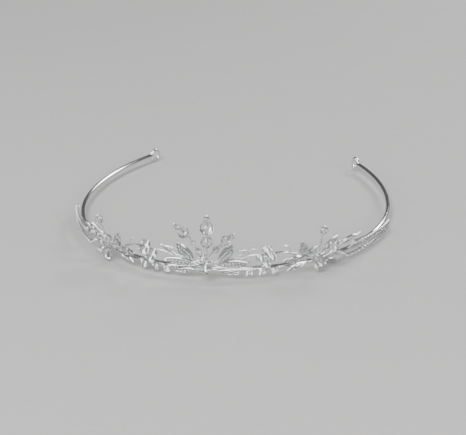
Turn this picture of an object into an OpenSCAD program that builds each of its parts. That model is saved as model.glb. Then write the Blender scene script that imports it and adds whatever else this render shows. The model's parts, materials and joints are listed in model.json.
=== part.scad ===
// Bridal tiara: a sprung wire headband that carries a burst-shaped centre flower,
// two four-stone flowers, two smaller side flowers and two tapered rows of stones.
// +X is to the right, -Y is the front, +Z is up. The tiara stands on z = 0.

/* [Headband] */
// Radius of the headband wire
band_wire_r = 1.15; // [0.9:0.05:1.4]
// Height of the headband's centre line above the table
band_z = 3.7; // [3.5:0.1:4.2]
// Place of the middle of the headband's front, which centres the tiara on the origin
band_front_y = -62.9; // [-66:0.1:-60]
// Radius of the front arc
front_r = 70; // [66:1:74]
// Radius of the arcs beside the ears
side_r = 78; // [76:1:84]
// Radius of the arcs at the back
back_r = 106; // [100:1:112]
// Half angle that the front arc covers
front_deg = 57; // [55:1:59]
// Angle at which the side arcs end
side_deg = 94; // [92:1:96]
// Angle at which the back arcs end
back_deg = 125.5; // [122:0.5:128]

/* [End loops] */
// Radius of the hole for a hair grip or ribbon
loop_bore_r = 1.6; // [1.4:0.1:1.8]
// Radius from the loop's axis to the middle of its wire
loop_mid_r = 2.5; // [2.3:0.05:2.7]
// Half thickness of the loop's wire
loop_wire_r = 0.95; // [0.85:0.05:1.1]
// Length of the round wall inside the loop
loop_wall = 1.1; // [0.9:0.1:1.2]

/* [Flowers] */
// Outward lean of the centre flower and the four-stone flowers
centre_lean = 16; // [12:1:20]
// Outward lean of the side flowers
side_lean = 20; // [15:1:24]
// Distance along the headband from its middle to a four-stone flower
quatrefoil_s = 23.9; // [23:0.1:25]
// Distance along the headband from its middle to a side flower
side_s = 46.4; // [45:0.1:48]
// Radius of the stalk wires
stalk_r = 0.4; // [0.35:0.01:0.42]
// Radial play of a crystal on its wire
crystal_play = 0.05; // [0.02:0.01:0.08]

/* [Leaves] */
// Thickness of a leaf over its rim
leaf_t = 0.8; // [0.7:0.05:0.9]
// Thickness of a leaf's floor
leaf_floor = 0.35; // [0.3:0.05:0.45]
// Width of a leaf's rim
leaf_rim = 0.4; // [0.35:0.05:0.5]
// Radius of a stone set in a leaf
pave_r = 0.66; // [0.55:0.01:0.68]
// Spacing of the stones set in a leaf
pave_pitch = 1.42; // [1.38:0.02:1.6]

/* [Stone rows] */
// Radius of a stone in the rows at the ends of the ornament
row_stone_r = 1; // [0.9:0.05:1.05]
// Spacing of the stones in a row
row_pitch = 2.3; // [2.25:0.05:2.35]
// Distance along the headband at which the rows end
row_end_s = 98; // [94:1:102]

/* [Hidden] */
$fn = 40;

// Colours of the plated metal and of the clear crystal
silver = [0.80, 0.81, 0.83];
crystal = [0.82, 0.92, 0.94];

// Arc lengths at which the headband changes from one arc to the next
front_end_s = front_r * front_deg * PI / 180;
side_end_s = front_end_s + side_r * (side_deg - front_deg) * PI / 180;
band_end_s = side_end_s + back_r * (back_deg - side_deg) * PI / 180;

// Centres of the three right-hand arcs
front_c = [0, band_front_y + front_r];
side_c = front_c - (side_r - front_r) * facing(front_deg);
back_c = side_c - (back_r - side_r) * facing(side_deg);

// Outward direction of the headband where it has turned by a degrees
function facing(a) = [sin(a), -cos(a)];

// Turn of the headband at the arc length s, negative on the left
function turn(s) = let (t = abs(s)) sign(s) * (
    t < front_end_s ? t / front_r * 180 / PI
    : t < side_end_s ? front_deg + (t - front_end_s) / side_r * 180 / PI
    : side_deg + (t - side_end_s) / back_r * 180 / PI);

// Point at the arc length s, the height h above the wire and the distance off outwards
function near_band(s, h, off) = let (
    t = abs(s),
    a = turn(t),
    c = t < front_end_s ? front_c : t < side_end_s ? side_c : back_c,
    r = t < front_end_s ? front_r : t < side_end_s ? side_r : back_r,
    p = c + (r + off) * facing(a)
) [s < 0 ? -p[0] : p[0], p[1], band_z + h];

// Draws children at a place on the headband, with -Y outwards
module at_band(s, h, off) {
    translate(near_band(s, h, off)) rotate([0, 0, turn(s)]) children();
}

// Draws children in the leaning plane of a flower: X along the headband, Z up, -Y outwards
module flower_plane(s, lean) {
    at_band(s, 0, band_wire_r) rotate([lean, 0, 0]) children();
}

// Draws flat children in a flower's plane, turned to the direction a, with +Z outwards
module lay(u, v, w, a = 0) {
    translate([u, -w, v]) rotate([90, 0, 0]) rotate([0, 0, a]) children();
}

// Draws a right-hand piece on the left
module left() {
    mirror([1, 0, 0]) children();
}

// Straight wire between two points
module rod(p, q, r) {
    d = q - p;
    translate(p) rotate([0, acos(d[2] / norm(d)), atan2(d[1], d[0])]) cylinder(h = norm(d), r = r);
}

// Bent wire: its straight lengths run a little past each bend, so that they join
module wire(points, r) {
    last = len(points) - 2;
    for (i = [0 : last]) {
        d = (points[i + 1] - points[i]) / norm(points[i + 1] - points[i]);
        lap = 0.6 * r * d;
        rod(points[i] - (i > 0 ? lap : 0 * d), points[i + 1] + (i < last ? lap : 0 * d), r);
    }
}

// ---- Headband -------------------------------------------------------------------

module band_arc(c, r, from, to) {
    translate([c[0], c[1], band_z]) rotate([0, 0, from - 90])
        rotate_extrude(angle = to - from, $fn = 120) translate([r, 0]) circle(band_wire_r);
}

// Slight swelling that covers the joint between two arcs
module band_joint(s) {
    at_band(s, 0, 0) rotate([0, 90, 0]) cylinder(h = 0.8, r = band_wire_r + 0.03, center = true);
}

module headband() {
    inside_loop = (loop_mid_r - loop_wire_r / 3) / back_r * 180 / PI;
    color(silver) {
        band_arc(front_c, front_r, -front_deg, front_deg);
        for (m = [0, 1]) mirror([m, 0, 0]) {
            band_arc(side_c, side_r, front_deg, side_deg);
            band_arc(back_c, back_r, side_deg, back_deg - inside_loop);
            band_joint(front_end_s);
            band_joint(side_end_s);
        }
    }
}

// The wire's end, curled into a ring with a round wall inside
module end_loop() {
    color(silver) at_band(band_end_s, loop_mid_r + loop_wire_r - band_z, 0) rotate([90, 0, 0])
        rotate_extrude() {
            translate([loop_mid_r, 0]) circle(loop_wire_r);
            translate([loop_bore_r, -loop_wall / 2]) square([loop_mid_r - loop_bore_r, loop_wall]);
        }
}

// ---- Leaves ---------------------------------------------------------------------

// Radius of the arc over a chord of the given length and bulge
function bulge_r(length, bulge) = (length * length / 4 + bulge * bulge) / (2 * bulge);

// Height of that arc above the chord at the distance x from the base
function edge(length, bulge, x) = let (r = bulge_r(length, bulge))
    sqrt(r * r - (x - length / 2) * (x - length / 2)) - (r - bulge);

// Flat outline of a leaf between two arcs, shrunk by inset
module leaf_outline(length, upper, lower, inset = 0) {
    intersection() {
        translate([length / 2, upper - bulge_r(length, upper)])
            circle(bulge_r(length, upper) - inset, $fn = 90);
        translate([length / 2, bulge_r(length, lower) - lower])
            circle(bulge_r(length, lower) - inset, $fn = 90);
    }
}

// Metal leaf with a raised rim and a stem that reaches back to the hub
module leaf(length, upper, lower, stem) {
    difference() {
        linear_extrude(leaf_t) leaf_outline(length, upper, lower);
        translate([0, 0, leaf_floor]) linear_extrude(leaf_t)
            leaf_outline(length, upper, lower, leaf_rim);
    }
    translate([-stem, 0, leaf_t / 2]) rotate([0, 90, 0]) cylinder(h = stem + 1.1, r = leaf_t / 2 - 0.05);
}

// Small round stone with a flat foot
module pave_stone() {
    rotate_extrude($fn = 24) polygon([
        [0, 0], [0.5 * pave_r, 0], [pave_r, 0.6 * pave_r], [pave_r, 0.75 * pave_r],
        [0.6 * pave_r, 1.1 * pave_r], [0, 1.1 * pave_r]
    ]);
}

// Stones on a leaf's floor: two rows where the leaf is wide, one where it is narrow
module leaf_stones(length, upper, lower) {
    need = leaf_rim + pave_r + 0.05;
    for (i = [0 : floor(length / pave_pitch)]) {
        x = length / 2 + (i - floor(length / pave_pitch) / 2) * pave_pitch;
        top = edge(length, upper, x) - need;
        bottom = -edge(length, lower, x) + need;
        if (top - bottom >= pave_pitch) {
            for (y = [top + bottom - pave_pitch, top + bottom + pave_pitch])
                translate([x, y / 2, leaf_floor]) pave_stone();
        } else if (top - bottom >= -0.15) {
            translate([x, (top + bottom) / 2, leaf_floor]) pave_stone();
        }
    }
}

// A leaf's place in its flower is [u, v, direction, length, upper bulge, lower bulge, stem]
plate_w = 0.1;
upper_leaf = [4.6, 4.9, 49, 12.6, 2.5, 2.4, 3];
side_leaf = [4.2, 3.2, 9, 14.8, 2.2, 2.1, 2.8];
lower_leaf = [4.6, 0.7, -8, 9.6, 1.2, 1.4, 3.2];
side_upper_inner = [-3.3, 4, 131, 12.5, 2.3, 2.5, 2.4];
side_upper_outer = [2.8, 4.6, 55, 10.4, 2.2, 2, 2.4];
side_lower_inner = [-5, 0.7, 190, 9.2, 1.3, 1.2, 3];
side_lower_outer = [4, -0.22, -19, 9.4, 1.3, 1.5, 2.6];
side_long_inner = [-4.6, 3.3, 172, 12.8, 2, 2, 2.6];
side_long_outer = [4.6, 2.3, 6, 8.4, 1.4, 1.3, 2.6];
side_spray = [-2.6, 5.2, 11, 10.6, 1.5, 1.2, 0];

module place_leaf(p) {
    lay(p[0], p[1], plate_w, p[2]) leaf(p[3], p[4], p[5], p[6]);
}

module place_leaf_stones(p) {
    lay(p[0], p[1], plate_w, p[2]) leaf_stones(p[3], p[4], p[5]);
}

// ---- Claw-set stones ------------------------------------------------------------

// Depth of a round stone below its girdle, as a share of its radius
pavilion = 0.55;
// Radius of a claw
claw_r = 0.26;

// Tapered cup with a foot at z = 0 and four claws that hold a stone's girdle at z = seat
module claw_setting(r, seat) {
    floor_z = seat - pavilion * r;
    rotate_extrude() polygon([
        [0, 0], [0.45 * r, 0], [r + 0.2, seat - 0.12], [r - 0.1, seat - 0.12],
        [0.3 * r + 0.03, floor_z], [0, floor_z]
    ]);
    for (i = [0 : 3]) rotate([0, 0, 45 + 90 * i]) translate([r + claw_r + 0.02, 0, 0]) {
        translate([0, 0, seat - 0.7]) cylinder(h = 0.7 + 0.3 * r, r = claw_r, $fn = 20);
        translate([0, 0, seat + 0.3 * r]) sphere(claw_r, $fn = 20);
    }
}

// Round cut stone that sits on the cup's floor
module round_stone(r, seat) {
    translate([0, 0, seat]) rotate_extrude() polygon([
        [0, -pavilion * r], [0.3 * r, -pavilion * r], [r, 0], [r, 0.1 * r],
        [0.58 * r, 0.42 * r], [0, 0.42 * r]
    ]);
}

// ---- Threaded crystals ----------------------------------------------------------

// Cut crystal, drilled along its axis, with a wide waist and tapering shoulders
module bicone(r, half) {
    hole = stalk_r + crystal_play;
    rotate_extrude() polygon([
        [hole, -half], [hole + 0.4, -half], [0.78 * r, -0.62 * half], [r, -0.16 * half],
        [r, 0.16 * half], [0.78 * r, 0.62 * half], [hole + 0.4, half], [hole, half]
    ]);
}

// Round bead drilled along its axis
module bead(r) {
    difference() {
        sphere(r);
        cylinder(h = 3 * r, r = stalk_r + crystal_play, center = true);
    }
}

// Draws children at the distance t along a stalk from p towards q, with +Z along it
module thread(p, q, t) {
    d = (q - p) / norm(q - p);
    translate(p + t * d) rotate([0, acos(d[2]), atan2(d[1], d[0])]) children();
}

// ---- Centre flower --------------------------------------------------------------

hub_v = 3.6;
hub_r = 2.9;
hub_t = 1;
// Points of the stalks in the flower's plane, as [along, -outwards, up]
stalk_w = 0.55;
centre_root = [0.2, -stalk_w, 4];
centre_tip = [1.9, -stalk_w, 29.8];
left_root = [-0.8, -stalk_w, 5.2];
left_bend = [-6.3, -stalk_w, 18];
left_tip = [-12.2, -stalk_w, 24.65];
right_root = [1.2, -stalk_w, 5.2];
right_bend = [1.8, -stalk_w, 9];
right_tip = [12.7, -stalk_w, 20.9];
// Small ball that closes a stalk
knob_r = 0.62;

// Claw-set stones of the centre flower, as [u, v, foot w, radius, seat]
big_stone = [0, 4.4, 1, 2.4, 2.9];
upper_stone = [-1.3, 8.3, 1, 1.45, 1.6];
lower_stone = [0, 0.5, 0.9, 1.1, 1.1];
centre_stones = [big_stone, upper_stone, lower_stone];
side_stone = [0, 1.8, 1, 2.4, 3.6];

module centre_plane() {
    flower_plane(0, centre_lean) children();
}

// Disc that the stalks and stems are soldered to, on a flat plate along the headband
module centre_hub() {
    plate = [13, 0.6, 1.9];
    color(silver) {
        centre_plane() {
            lay(0, hub_v, 0) cylinder(h = hub_t, r = hub_r);
            lay(upper_stone[0], upper_stone[1], 0) cylinder(h = hub_t, r = 1);
            rod([0, -hub_t / 2, hub_v], [upper_stone[0], -hub_t / 2, upper_stone[1]], 0.42);
            lay(0, 0.5, 0) cylinder(h = 0.9, r = 0.9);
        }
        translate([-plate[0] / 2, band_front_y - band_wire_r - 0.25, band_z - plate[2] / 2])
            cube(plate);
    }
}

module centre_upper_leaf() {
    color(silver) centre_plane() place_leaf(upper_leaf);
}

module centre_side_leaf() {
    color(silver) centre_plane() place_leaf(side_leaf);
}

module centre_lower_leaf() {
    color(silver) centre_plane() place_leaf(lower_leaf);
}

module centre_leaf_stones() {
    color(crystal) for (m = [0, 1]) mirror([m, 0, 0]) centre_plane()
        for (p = [upper_leaf, side_leaf, lower_leaf]) place_leaf_stones(p);
}

// Open leaf of bent wire, behind the metal leaves
open_leaf = [4.6, 5, 28, 14.4, 1.7, 1.7];
open_wire_r = 0.34;
// Solder ball at each end of an open leaf
open_knob_r = 0.48;

module open_leaf_edge(length, bulge) {
    r = bulge_r(length, bulge);
    half = asin(length / 2 / r);
    translate([length / 2, bulge - r, 0]) rotate([0, 0, 90 - half])
        rotate_extrude(angle = 2 * half, $fn = 90) translate([r, 0]) circle(open_wire_r, $fn = 20);
}

module centre_wire_leaf() {
    p = open_leaf;
    color(silver) centre_plane() lay(p[0], p[1], -0.3, p[2]) {
        open_leaf_edge(p[3], p[4]);
        mirror([0, 1, 0]) open_leaf_edge(p[3], p[5]);
        translate([p[3], 0, 0]) sphere(open_knob_r);
        rod([0, 0, 0], [-2.8, 0, 0.9], open_wire_r);
        sphere(open_knob_r);
    }
}

module claw_settings() {
    color(silver) {
        centre_plane() for (c = centre_stones) lay(c[0], c[1], c[2]) claw_setting(c[3], c[4]);
        for (m = [0, 1]) mirror([m, 0, 0]) side_plane()
            lay(side_stone[0], side_stone[1], side_stone[2]) claw_setting(side_stone[3], side_stone[4]);
    }
}

module claw_stones() {
    color(crystal) {
        centre_plane() for (c = centre_stones) lay(c[0], c[1], c[2]) round_stone(c[3], c[4]);
        for (m = [0, 1]) mirror([m, 0, 0]) side_plane()
            lay(side_stone[0], side_stone[1], side_stone[2]) round_stone(side_stone[3], side_stone[4]);
    }
}

module centre_stalk() {
    color(silver) centre_plane() {
        wire([centre_root, centre_tip], stalk_r);
        translate(centre_tip) sphere(knob_r);
    }
}

module left_stalk() {
    color(silver) centre_plane() {
        wire([left_root, left_bend, left_tip], stalk_r);
        translate(left_tip) sphere(knob_r);
    }
}

module right_stalk() {
    color(silver) centre_plane() {
        wire([right_root, right_bend, right_tip], stalk_r);
        translate(right_tip) sphere(knob_r);
    }
}

// Distances along the stalks, from the root or the last bend, and sizes of what is threaded
centre_lower_t = 11.8;
centre_upper_t = 19.35;
centre_bead_t = 23.7;
left_base_t = 5.6;
left_spacer_t = 10.6;
left_crystal_t = 3.3;
left_bead_t = 7.05;
right_base_t = 3.9;
right_spacer_t = 7.2;
right_crystal_t = 10.9;
right_bead_t = 14.5;

module centre_top_bead() {
    color(crystal) centre_plane() thread(centre_root, centre_tip, centre_bead_t) bead(1.6);
}

module centre_upper_crystal() {
    color(crystal) centre_plane() thread(centre_root, centre_tip, centre_upper_t) bicone(3.1, 2.6);
}

module centre_lower_crystal() {
    color(crystal) centre_plane() thread(centre_root, centre_tip, centre_lower_t) bicone(2.6, 2.6);
}

module left_end_bead() {
    color(crystal) centre_plane() thread(left_bend, left_tip, left_bead_t) bead(1.35);
}

module left_crystal() {
    color(crystal) centre_plane() thread(left_bend, left_tip, left_crystal_t) bicone(2.55, 2.3);
}

module left_spacer_bead() {
    color(crystal) centre_plane() thread(left_root, left_bend, left_spacer_t) bead(1.05);
}

module left_base_crystal() {
    color(crystal) centre_plane() thread(left_root, left_bend, left_base_t) bicone(1.5, 1.5);
}

module right_end_bead() {
    color(crystal) centre_plane() thread(right_bend, right_tip, right_bead_t) bead(1.3);
}

module right_crystal() {
    color(crystal) centre_plane() thread(right_bend, right_tip, right_crystal_t) bicone(2.3, 2.1);
}

module right_spacer_bead() {
    color(crystal) centre_plane() thread(right_bend, right_tip, right_spacer_t) bead(1);
}

module right_base_crystal() {
    color(crystal) centre_plane() thread(right_bend, right_tip, right_base_t) bicone(1.45, 1.6);
}

// ---- Four-stone flowers ---------------------------------------------------------

petal_r = 2;
petal_seat = 1.7;
petal_w = 0.55;
// Places of the four stones in the flower's plane
petals = [[0, 12.2], [-2.4, 8.2], [2.4, 8.2], [0, 4.2]];

module quatrefoil_plane() {
    flower_plane(quatrefoil_s, centre_lean) children();
}

module quatrefoil_settings() {
    color(silver) quatrefoil_plane() {
        for (p = petals) lay(p[0], p[1], petal_w) claw_setting(petal_r, petal_seat);
        rod([0, -0.3, 0], [0, -0.3, 12.2], 0.45);
        rod([-2.4, -0.3, 8.2], [2.4, -0.3, 8.2], 0.45);
    }
}

module quatrefoil_stones() {
    color(crystal) for (m = [0, 1]) mirror([m, 0, 0]) quatrefoil_plane()
        for (p = petals) lay(p[0], p[1], petal_w) round_stone(petal_r, petal_seat);
}

// ---- Small stones on a scalloped wire along the headband ------------------------

drop_r = 1.45;
drop_seat = 1.3;
drop_h = -1.1;
drop_pitch = 5.4;
drop_off = band_wire_r - 0.3;
// Radius of the arches between the stones and of the wire they are bent from
arch_r = 1.3;
arch_wire_r = 0.3;
drops = [for (i = [-1 : 1]) quatrefoil_s - 1.1 + i * drop_pitch];

module garland() {
    color(silver) {
        for (s = drops) at_band(s, drop_h, drop_off) rotate([90, 0, 0]) claw_setting(drop_r, drop_seat);
        for (i = [0 : 3]) at_band(drops[0] + (i - 0.5) * drop_pitch, drop_h + 0.5, drop_off + 0.7)
            rotate([90, 0, 0]) rotate_extrude(angle = 180)
                translate([arch_r, 0]) circle(arch_wire_r, $fn = 20);
    }
}

module garland_stones() {
    color(crystal) for (m = [0, 1]) mirror([m, 0, 0]) for (s = drops)
        at_band(s, drop_h, drop_off) rotate([90, 0, 0]) round_stone(drop_r, drop_seat);
}

// ---- Thin wires between the flowers ---------------------------------------------

rail_r = 0.4;
// Radius of the twigs that branch off the rails, thinner than the rails
twig_r = 0.34;

module upper_rail() {
    // From the centre flower to the four-stone flower, then on to the side flower
    inner = [near_band(14.2, 6.2, 2.6), near_band(17.5, 7.4, 2.8), near_band(20.6, 7.9, 3)];
    outer = [near_band(27.3, 7.9, 3), near_band(32, 7.6, 2.9), near_band(37.5, 5.6, 2.7)];
    inner_twig = [(inner[0] + inner[1]) / 2, near_band(18.4, 10.2, 3.4), near_band(20, 10.6, 3.5)];
    outer_twig = [(outer[1] + outer[2]) / 2, near_band(33.4, 10, 3.4), near_band(31.8, 10.8, 3.5)];
    color(silver) {
        for (points = [inner, outer]) wire(points, rail_r);
        for (points = [inner_twig, outer_twig]) wire(points, twig_r);
    }
}

// ---- Side flowers ---------------------------------------------------------------

module side_plane() {
    flower_plane(side_s, side_lean) children();
}

module side_upper_inner_leaf() {
    color(silver) side_plane() place_leaf(side_upper_inner);
}

module side_upper_outer_leaf() {
    color(silver) side_plane() place_leaf(side_upper_outer);
}

module side_lower_inner_leaf() {
    color(silver) side_plane() place_leaf(side_lower_inner);
}

// The lower outer leaf ends in a round tip that touches the table
module side_lower_outer_leaf() {
    p = side_lower_outer;
    tip_r = 0.45;
    color(silver) side_plane() {
        place_leaf(p);
        lay(p[0], p[1], plate_w, p[2]) translate([p[3] - 0.2, 0, leaf_t / 2]) sphere(tip_r);
    }
}

module side_long_leaves() {
    color(silver) side_plane() {
        place_leaf(side_long_inner);
        place_leaf(side_long_outer);
    }
}

module spray_plane() {
    flower_plane(side_s + 14, side_lean / 2) children();
}

// Leaf beyond the side flower, on a stem that rises from the headband
module side_spray_leaf() {
    p = side_spray;
    color(silver) spray_plane() {
        place_leaf(p);
        wire([[-5.4, -0.5, 0], [-4.2, -0.5, 3.4], [p[0] + 0.6, -0.5, p[1] + 0.1]], 0.35);
        lay(p[0], p[1], plate_w, p[2]) rod([p[3] - 0.8, 0, 0.4], [p[3] + 2, 0.5, 0.6], 0.3);
    }
}

module side_leaf_stones() {
    color(crystal) for (m = [0, 1]) mirror([m, 0, 0]) {
        side_plane() for (p = [side_upper_inner, side_upper_outer, side_lower_inner,
                side_lower_outer, side_long_inner, side_long_outer]) place_leaf_stones(p);
        spray_plane() place_leaf_stones(side_spray);
    }
}

side_hub_v = 2.8;
side_root = [0, -1, 3.8];
side_bead_tip = [0, -1.2, 20.6];
side_bead_t = 14.6;
// Fan of short stalks, as [tip, distance of the crystal, radius, half length]
side_fan = [
    [[-5, -4.6, 13.4], 8.2, 2.2, 2],
    [[2.6, -4.4, 13.2], 7.4, 2, 1.9],
    [[7.6, -4, 12.8], 9.4, 1.7, 1.6],
    [[-1.4, -5.2, 9.2], 4.4, 1.4, 1.3]
];

// Foot of a fan stalk in the hub, spread towards the side that the stalk leans to
function fan_root(tip) = [0.22 * tip[0], -0.6, side_hub_v + 0.4];

// Hub and stalks of a side flower
module side_stalks() {
    color(silver) side_plane() {
        lay(0, side_hub_v, 0) cylinder(h = hub_t, r = 2.4);
        rod(side_root, side_bead_tip, stalk_r);
        translate(side_bead_tip) sphere(knob_r);
        for (f = side_fan) {
            rod(fan_root(f[0]), f[0], stalk_r);
            translate(f[0]) sphere(knob_r);
        }
    }
}

module side_crystals() {
    color(crystal) side_plane() for (f = side_fan)
        thread(fan_root(f[0]), f[0], f[1]) bicone(f[2], f[3]);
}

module side_top_bead() {
    color(crystal) side_plane() thread(side_root, side_bead_tip, side_bead_t) bead(1.8);
}

// ---- Tapered rows of stones -----------------------------------------------------

row_seat = 0.8;
row_off = band_wire_r + 1;
// First stone's distance and height, and the last stone's height, of each row
upper_row = [side_s + 19.6, 3.3, 1.08];
lower_row = [side_s + 16.2, -1.5, -1.08];

// Distances of a row's stones along the headband, and a stone's height
function row_places(row) = [for (s = [row_end_s : -row_pitch : row[0]]) s];
function row_h(row, s) = row[2] + (row[1] - row[2]) * (row_end_s - s) / (row_end_s - row[0]);

module row_cup() {
    cup_r = row_stone_r + 0.26;
    difference() {
        cylinder(h = row_seat, r = cup_r);
        translate([0, 0, 0.3]) cylinder(h = row_seat, r = row_stone_r + 0.03);
    }
}

module stone_row() {
    color(silver) for (row = [upper_row, lower_row]) {
        places = row_places(row);
        for (s = places) at_band(s, row_h(row, s), row_off) rotate([90, 0, 0]) row_cup();
        first = places[len(places) - 1];
        near = first - row_stone_r - 0.1;
        rod(near_band(near, row_h(row, first), row_off + 0.4), near_band(near - 1.6, 0, 0.6), 0.35);
    }
    // Wire from the last upper cup back to the headband
    far = row_end_s + row_stone_r + 0.1;
    color(silver) rod(near_band(far, upper_row[2], row_off + 0.4), near_band(far + 1.8, 0, 0.6), 0.35);
}

module row_stones() {
    foot = 0.3;
    color(crystal) for (m = [0, 1]) mirror([m, 0, 0]) for (row = [upper_row, lower_row])
        for (s = row_places(row)) at_band(s, row_h(row, s), row_off) rotate([90, 0, 0])
            rotate_extrude($fn = 24) polygon([
                [0, foot], [0.5 * row_stone_r, foot], [row_stone_r, 0.75], [row_stone_r, 0.9],
                [0.6 * row_stone_r, 1.25], [0, 1.25]
            ]);
}

// ---- Nodes ----------------------------------------------------------------------

headband();
left() end_loop();  // end_loop_left
end_loop();  // end_loop_right
centre_hub();
left() centre_upper_leaf();  // centre_upper_leaf_left
centre_upper_leaf();  // centre_upper_leaf_right
left() centre_side_leaf();  // centre_side_leaf_left
centre_side_leaf();  // centre_side_leaf_right
left() centre_lower_leaf();  // centre_lower_leaf_left
centre_lower_leaf();  // centre_lower_leaf_right
left() centre_wire_leaf();  // centre_wire_leaf_left
centre_wire_leaf();  // centre_wire_leaf_right
centre_leaf_stones();
claw_settings();
claw_stones();
centre_stalk();
left_stalk();
right_stalk();
centre_top_bead();
centre_upper_crystal();
centre_lower_crystal();
left_end_bead();
left_crystal();
left_spacer_bead();
left_base_crystal();
right_end_bead();
right_crystal();
right_spacer_bead();
right_base_crystal();
left() quatrefoil_settings();  // quatrefoil_settings_left
quatrefoil_settings();  // quatrefoil_settings_right
quatrefoil_stones();
left() garland();  // garland_left
garland();  // garland_right
garland_stones();
left() upper_rail();  // upper_rail_left
upper_rail();  // upper_rail_right
left() side_upper_inner_leaf();  // side_upper_inner_leaf_left
side_upper_inner_leaf();  // side_upper_inner_leaf_right
left() side_upper_outer_leaf();  // side_upper_outer_leaf_left
side_upper_outer_leaf();  // side_upper_outer_leaf_right
left() side_lower_inner_leaf();  // side_lower_inner_leaf_left
side_lower_inner_leaf();  // side_lower_inner_leaf_right
left() side_lower_outer_leaf();  // side_lower_outer_leaf_left
side_lower_outer_leaf();  // side_lower_outer_leaf_right
left() side_long_leaves();  // side_long_leaves_left
side_long_leaves();  // side_long_leaves_right
left() side_spray_leaf();  // side_spray_leaf_left
side_spray_leaf();  // side_spray_leaf_right
side_leaf_stones();
left() side_stalks();  // side_stalks_left
side_stalks();  // side_stalks_right
left() side_crystals();  // side_crystals_left
side_crystals();  // side_crystals_right
left() side_top_bead();  // side_top_bead_left
side_top_bead();  // side_top_bead_right
left() stone_row();  // stone_row_left
stone_row();  // stone_row_right
row_stones();
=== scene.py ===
"""Bridal tiara: the visible pieces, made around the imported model's frame.

Sizes are in millimetres until a mesh is made; the finished meshes are in metres.
+X is to the right, -Y is the front, where the flowers are, and +Z is up.
"""

import json
import math

import bmesh
import bpy
from bpy.props import FloatProperty, FloatVectorProperty, IntProperty, PointerProperty
from mathutils import Matrix, Vector

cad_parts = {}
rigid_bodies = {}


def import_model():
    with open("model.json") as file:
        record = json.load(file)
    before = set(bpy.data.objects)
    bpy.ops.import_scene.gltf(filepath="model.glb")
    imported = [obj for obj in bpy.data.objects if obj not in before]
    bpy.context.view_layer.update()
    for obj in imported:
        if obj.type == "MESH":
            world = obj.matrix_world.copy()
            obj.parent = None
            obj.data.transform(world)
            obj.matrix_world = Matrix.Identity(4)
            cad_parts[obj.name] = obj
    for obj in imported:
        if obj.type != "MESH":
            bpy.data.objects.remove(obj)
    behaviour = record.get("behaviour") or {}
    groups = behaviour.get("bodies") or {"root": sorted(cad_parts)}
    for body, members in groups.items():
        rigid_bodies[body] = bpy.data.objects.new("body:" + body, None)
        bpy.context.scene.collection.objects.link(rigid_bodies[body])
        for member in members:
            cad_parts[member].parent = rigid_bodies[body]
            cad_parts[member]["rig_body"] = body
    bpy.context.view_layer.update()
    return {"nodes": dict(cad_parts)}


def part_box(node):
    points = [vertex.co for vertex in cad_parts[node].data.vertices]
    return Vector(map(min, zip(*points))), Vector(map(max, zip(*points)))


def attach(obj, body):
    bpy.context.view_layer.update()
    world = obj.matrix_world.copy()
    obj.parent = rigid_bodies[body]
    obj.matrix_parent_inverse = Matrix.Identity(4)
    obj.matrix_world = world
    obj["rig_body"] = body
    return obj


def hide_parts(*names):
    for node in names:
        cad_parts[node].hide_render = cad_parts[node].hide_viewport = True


bl_info = {
    "name": "Bridal tiara",
    "version": (1, 0, 0),
    "blender": (4, 5, 0),
    "location": "View3D > Sidebar > Tiara",
    "description": "Makes the metal, stones and crystals of a bridal tiara",
    "category": "Add Mesh",
}

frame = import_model()
MM = 0.001


def linear(hex_colour):
    """An sRGB hex colour as linear red, green and blue."""
    parts = [int(hex_colour[i : i + 2], 16) / 255 for i in (1, 3, 5)]
    return [c / 12.92 if c <= 0.04045 else ((c + 0.055) / 1.055) ** 2.4 for c in parts]


# ---- Sizes and colours that a user would change ---------------------------------


def length(name, text, default):
    return FloatProperty(name=name, description=text, default=default, min=0)


def colour(name, text, hex_colour):
    return FloatVectorProperty(
        name=name, description=text, default=linear(hex_colour), subtype="COLOR", min=0, max=1,
    )


class TiaraMetal(bpy.types.PropertyGroup):
    plating: colour("Plating", "Colour of the bright plating", "#F1F0EF")
    plating_shade: colour("Plating in hollows", "Plating where it is thin", "#DDDDE0")
    wire_sides: IntProperty(
        name="Wire sides", description="Sides of a thin wire", default=12, min=6
    )
    rim_width: length("Rim", "Width of a leaf's raised rim in mm", 0.42)
    claw_radius: length("Claw", "Radius of a claw in mm", 0.26)
    grain_radius: length("Grain", "Radius of a setting grain in mm", 0.17)


class TiaraStones(bpy.types.PropertyGroup):
    glass: colour("Glass", "Colour of the clear cut glass", "#FAFDFC")
    foil: colour("Foil", "Colour of the mirror behind a stone", "#F4F7F6")
    table: FloatProperty(
        name="Table", description="Width of a stone's flat top, as a share of its width",
        default=0.54, min=0.3, max=0.8, subtype="FACTOR",
    )
    facets: IntProperty(
        name="Facets", description="Facets round a threaded crystal", default=10, min=6
    )


class TiaraStage(bpy.types.PropertyGroup):
    floor: colour("Floor", "Colour of the floor", "#A9A7A6")
    lens: FloatProperty(name="Lens", description="Focal length in mm", default=108.26, min=20)


# ---- Places on the headband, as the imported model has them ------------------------

WIRE_R = 1.15
FRONT_R, SIDE_R, BACK_R = 70, 78, 106
FRONT_DEG, SIDE_DEG, BACK_DEG = 57, 94, 125.5
CENTRE_LEAN, SIDE_LEAN = 16, 20
QUATREFOIL_S, SIDE_S = 23.9, 46.4
STALK_R, PLAY = 0.4, 0.05
FRONT_END = FRONT_R * math.radians(FRONT_DEG)
SIDE_END = FRONT_END + SIDE_R * math.radians(SIDE_DEG - FRONT_DEG)
BAND_END = SIDE_END + BACK_R * math.radians(BACK_DEG - SIDE_DEG)
LOOP_MID_R, LOOP_WIRE_R = 2.5, 0.95

MIRROR = Matrix.Scale(-1, 4, (1, 0, 0))
RIGHT = Matrix.Identity(4)
# Turns a shape's +Z to the front
UPRIGHT = Matrix.Rotation(math.pi / 2, 4, "X")

_band_low, _band_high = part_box("headband")
BAND_Z = (_band_low.z + _band_high.z) / 2 / MM
BAND_FRONT = _band_low.y / MM + WIRE_R


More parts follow.
